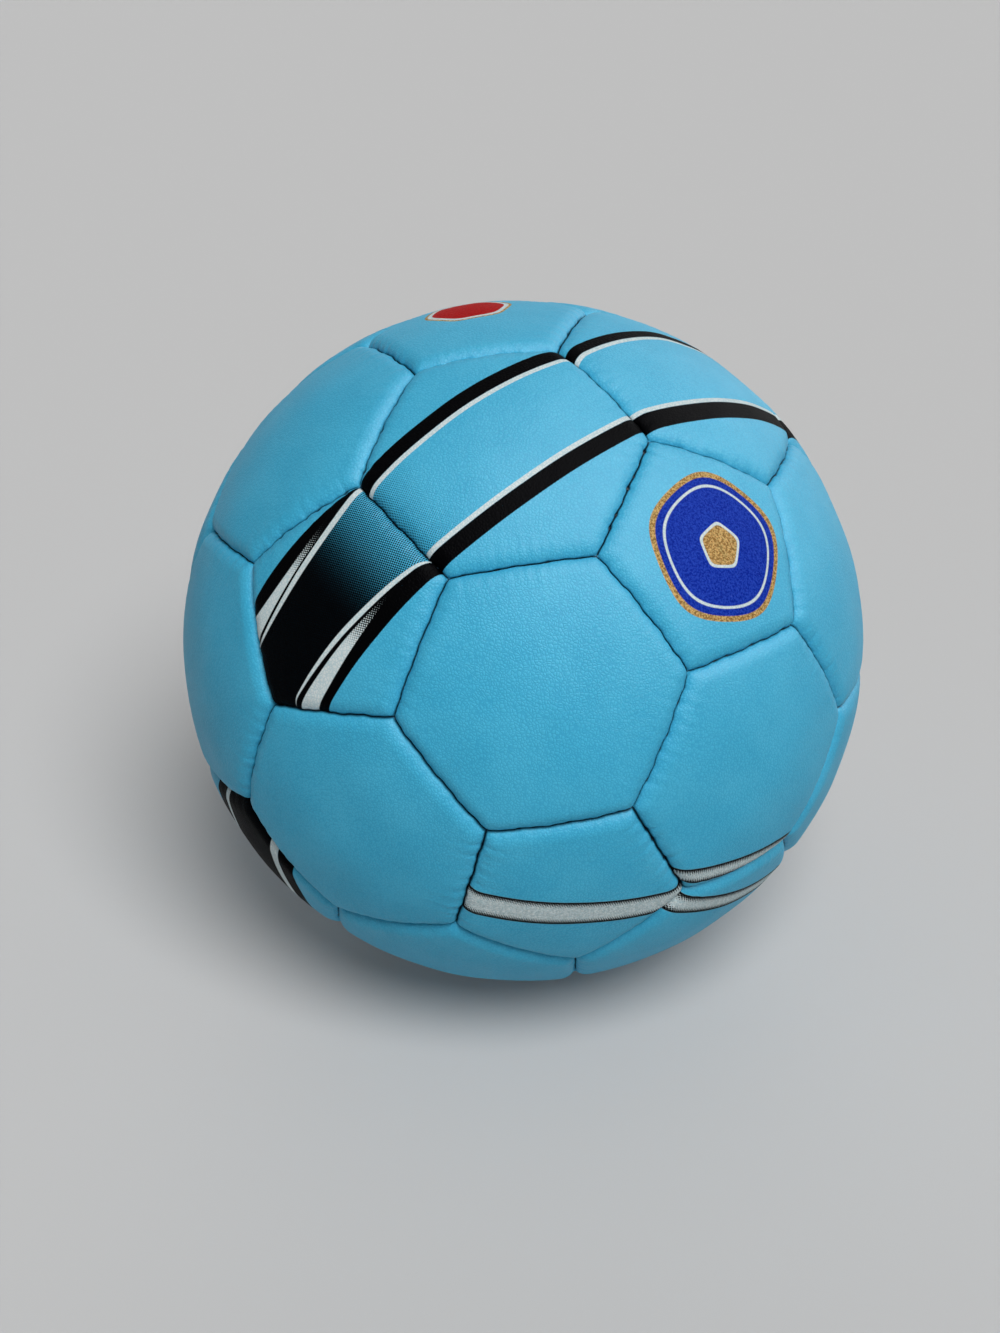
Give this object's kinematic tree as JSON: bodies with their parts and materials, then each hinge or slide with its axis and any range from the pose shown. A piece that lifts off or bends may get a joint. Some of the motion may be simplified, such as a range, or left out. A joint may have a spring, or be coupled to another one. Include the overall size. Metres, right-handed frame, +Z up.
{
  "type": "handball",
  "caption": "Hand-stitched handball: lined pentagon and hexagon panels sewn round a latex bladder, with a needle valve whose core pulls out.",
  "frame": {"origin": "centre of the ball", "axes": "+Z up as the ball lies in the picture, -Y towards the camera, +X to the camera's right"},
  "size_m": [0.1878, 0.1878, 0.1878],
  "materials": {
    "cover": "grained synthetic leather, satin",
    "lining_cloth": "woven cotton and polyester plies, matte",
    "bladder_latex": "natural latex, satin",
    "valve_rubber": "moulded rubber, matte",
    "core_rubber": "moulded rubber, satin",
    "waxed_thread": "waxed polyester, satin"
  },
  "bodies": {
    "ball": {"bladder": "bladder_latex", "hexagon_linings": "lining_cloth", "hexagon_panel_01": "cover", "hexagon_panel_02": "cover", "hexagon_panel_03": "cover", "hexagon_panel_04": "cover", "hexagon_panel_05": "cover", "hexagon_panel_06": "cover", "hexagon_panel_07": "cover", "hexagon_panel_08": "cover", "hexagon_panel_09": "cover", "hexagon_panel_10": "cover", "hexagon_panel_11": "cover", "hexagon_panel_12": "cover", "hexagon_panel_13": "cover", "hexagon_panel_14": "cover", "hexagon_panel_15": "cover", "hexagon_panel_16": "cover", "hexagon_panel_17": "cover", "hexagon_panel_18": "cover", "hexagon_panel_19": "cover", "pentagon_linings": "lining_cloth", "pentagon_panel_01": "cover", "pentagon_panel_02": "cover", "pentagon_panel_03": "cover", "pentagon_panel_04": "cover", "pentagon_panel_05": "cover", "pentagon_panel_06": "cover", "pentagon_panel_07": "cover", "pentagon_panel_08": "cover", "pentagon_panel_09": "cover", "pentagon_panel_10": "cover", "pentagon_panel_11": "cover", "pentagon_panel_12": "cover", "seam_threads": "waxed_thread", "valve_housing": "valve_rubber", "valve_panel": "cover", "valve_panel_lining": "lining_cloth"},
    "core": {"valve_core": "core_rubber"}
  },
  "joints": [
    {"name": "valve_core_pull", "type": "slide", "parent": "ball", "child": "core", "axis": [-0.6607, 0.7502, -0.0276], "range_m": [0, 0.03]}
  ]
}
